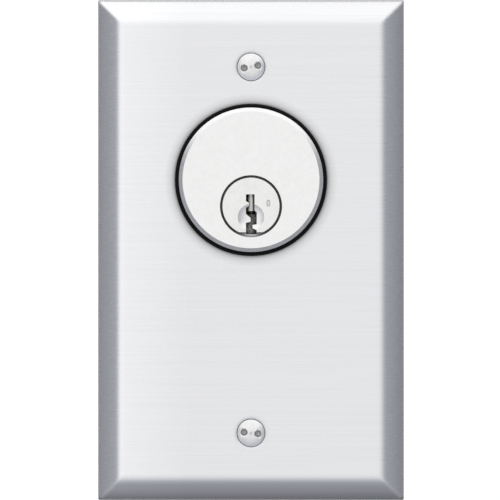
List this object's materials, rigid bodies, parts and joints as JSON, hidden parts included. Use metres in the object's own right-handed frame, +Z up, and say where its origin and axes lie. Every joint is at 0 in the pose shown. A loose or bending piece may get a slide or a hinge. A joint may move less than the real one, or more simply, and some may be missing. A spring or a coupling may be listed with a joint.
{
  "type": "key switch",
  "caption": "Flush wall-plate key switch: a round pin-tumbler cylinder in a bevelled steel plate turns a cam that presses a snap switch.",
  "frame": {"origin": "centre of the wall plane that the plate's rim rests on", "axes": "+Y back into the wall, +Z up, +X to the right seen from the front"},
  "size_m": [0.0698, 0.0417, 0.1142],
  "materials": {
    "plate": "brushed stainless, grain across the plate",
    "screw_steel": "polished stainless",
    "gasket": "matt black",
    "shell": "satin chrome plate on brass",
    "plug": "satin chrome plate on brass",
    "brass": "machined brass",
    "pin_steel": "nickel silver, turned",
    "spring_wire": "drawn wire",
    "zinc_plate": "zinc plated",
    "case_plastic": "moulded, matt",
    "cover_plastic": "moulded, matt",
    "plunger_plastic": "natural",
    "roller_plastic": "natural nylon",
    "contact_metal": "spring brass"
  },
  "bodies": {
    "housing": {"face_plate": "plate", "plate_screws": "screw_steel", "head_gasket": "gasket", "cylinder_shell": "shell", "chamber_cover": "brass", "lock_washer": "zinc_plate", "locknut": "zinc_plate", "bracket": "zinc_plate", "switch_case": "case_plastic", "switch_cover": "cover_plastic", "lever_pin": "zinc_plate", "nc_terminal": "contact_metal", "no_terminal": "contact_metal", "com_terminal": "contact_metal", "blade_spring": "spring_wire", "switch_screws": "zinc_plate", "switch_nuts": "zinc_plate", "pin_spring_1": "spring_wire", "pin_spring_2": "spring_wire", "pin_spring_3": "spring_wire", "pin_spring_4": "spring_wire", "pin_spring_5": "spring_wire", "pin_spring_6": "spring_wire"},
    "plug": {"plug": "plug", "cam": "brass", "cam_screws": "zinc_plate"},
    "key_pin_1": {"key_pin_1": "pin_steel"},
    "key_pin_2": {"key_pin_2": "pin_steel"},
    "key_pin_3": {"key_pin_3": "pin_steel"},
    "key_pin_4": {"key_pin_4": "pin_steel"},
    "key_pin_5": {"key_pin_5": "pin_steel"},
    "key_pin_6": {"key_pin_6": "pin_steel"},
    "driver_pin_1": {"driver_pin_1": "pin_steel"},
    "driver_pin_2": {"driver_pin_2": "pin_steel"},
    "driver_pin_3": {"driver_pin_3": "pin_steel"},
    "driver_pin_4": {"driver_pin_4": "pin_steel"},
    "driver_pin_5": {"driver_pin_5": "pin_steel"},
    "driver_pin_6": {"driver_pin_6": "pin_steel"},
    "switch_lever": {"switch_lever": "zinc_plate", "roller_pin": "zinc_plate"},
    "roller": {"roller": "roller_plastic"},
    "plunger": {"plunger": "plunger_plastic"},
    "contact_blade": {"contact_blade": "contact_metal"}
  },
  "joints": [
    {"name": "plug_turn", "type": "hinge", "parent": "housing", "child": "plug", "pos_m": [0, 0, 0.00994], "axis": [0, 1, 0], "range_deg": [0, 60], "stiffness_Nm_per_rad": 0.04, "springref_deg": -28.65},
    {"name": "lever_tilt", "type": "hinge", "parent": "housing", "child": "switch_lever", "pos_m": [-0.017, 0.0252, -0.00456], "axis": [0, 1, 0], "range_deg": [0, 8.81]},
    {"name": "roller_spin", "type": "hinge", "parent": "switch_lever", "child": "roller", "pos_m": [0, 0.0252, 0.00064], "axis": [0, 1, 0], "continuous": true},
    {"name": "plunger_travel", "type": "slide", "parent": "housing", "child": "plunger", "axis": [0, 0, -1], "range_m": [0, 0.00094]},
    {"name": "blade_tilt", "type": "hinge", "parent": "housing", "child": "contact_blade", "pos_m": [0.004, 0.02505, -0.01386], "axis": [0, 1, 0], "range_deg": [-3.56, 0], "deforming": ["blade_spring"]},
    {"name": "key_pin_1_drop", "type": "slide", "parent": "plug", "child": "key_pin_1", "axis": [0, 0, 1], "range_m": [-0.00055, 0]},
    {"name": "key_pin_2_drop", "type": "slide", "parent": "plug", "child": "key_pin_2", "axis": [0, 0, 1], "range_m": [-0.00205, 0]},
    {"name": "key_pin_3_drop", "type": "slide", "parent": "plug", "child": "key_pin_3", "axis": [0, 0, 1], "range_m": [-0.00125, 0]},
    {"name": "key_pin_4_drop", "type": "slide", "parent": "plug", "child": "key_pin_4", "axis": [0, 0, 1], "range_m": [-0.00285, 0]},
    {"name": "key_pin_5_drop", "type": "slide", "parent": "plug", "child": "key_pin_5", "axis": [0, 0, 1], "range_m": [-0.00165, 0]},
    {"name": "key_pin_6_drop", "type": "slide", "parent": "plug", "child": "key_pin_6", "axis": [0, 0, 1], "range_m": [-0.00245, 0]},
    {"name": "driver_pin_1_lift", "type": "slide", "parent": "housing", "child": "driver_pin_1", "axis": [0, 0, 1], "range_m": [0, 0.003], "stiffness_N_per_m": 150, "springref_m": -0.003, "deforming": ["pin_spring_1"]},
    {"name": "driver_pin_2_lift", "type": "slide", "parent": "housing", "child": "driver_pin_2", "axis": [0, 0, 1], "range_m": [0, 0.003], "stiffness_N_per_m": 150, "springref_m": -0.003, "deforming": ["pin_spring_2"]},
    {"name": "driver_pin_3_lift", "type": "slide", "parent": "housing", "child": "driver_pin_3", "axis": [0, 0, 1], "range_m": [0, 0.003], "stiffness_N_per_m": 150, "springref_m": -0.003, "deforming": ["pin_spring_3"]},
    {"name": "driver_pin_4_lift", "type": "slide", "parent": "housing", "child": "driver_pin_4", "axis": [0, 0, 1], "range_m": [0, 0.003], "stiffness_N_per_m": 150, "springref_m": -0.003, "deforming": ["pin_spring_4"]},
    {"name": "driver_pin_5_lift", "type": "slide", "parent": "housing", "child": "driver_pin_5", "axis": [0, 0, 1], "range_m": [0, 0.003], "stiffness_N_per_m": 150, "springref_m": -0.003, "deforming": ["pin_spring_5"]},
    {"name": "driver_pin_6_lift", "type": "slide", "parent": "housing", "child": "driver_pin_6", "axis": [0, 0, 1], "range_m": [0, 0.003], "stiffness_N_per_m": 150, "springref_m": -0.003, "deforming": ["pin_spring_6"]}
  ],
  "couplings": [
    {"joint": "lever_tilt", "follows": "plug_turn", "ratio": 0.14662},
    {"joint": "plunger_travel", "follows": "plug_turn", "m_per_rad": 0.00088672},
    {"joint": "blade_tilt", "follows": "plug_turn", "ratio": -0.059039}
  ]
}
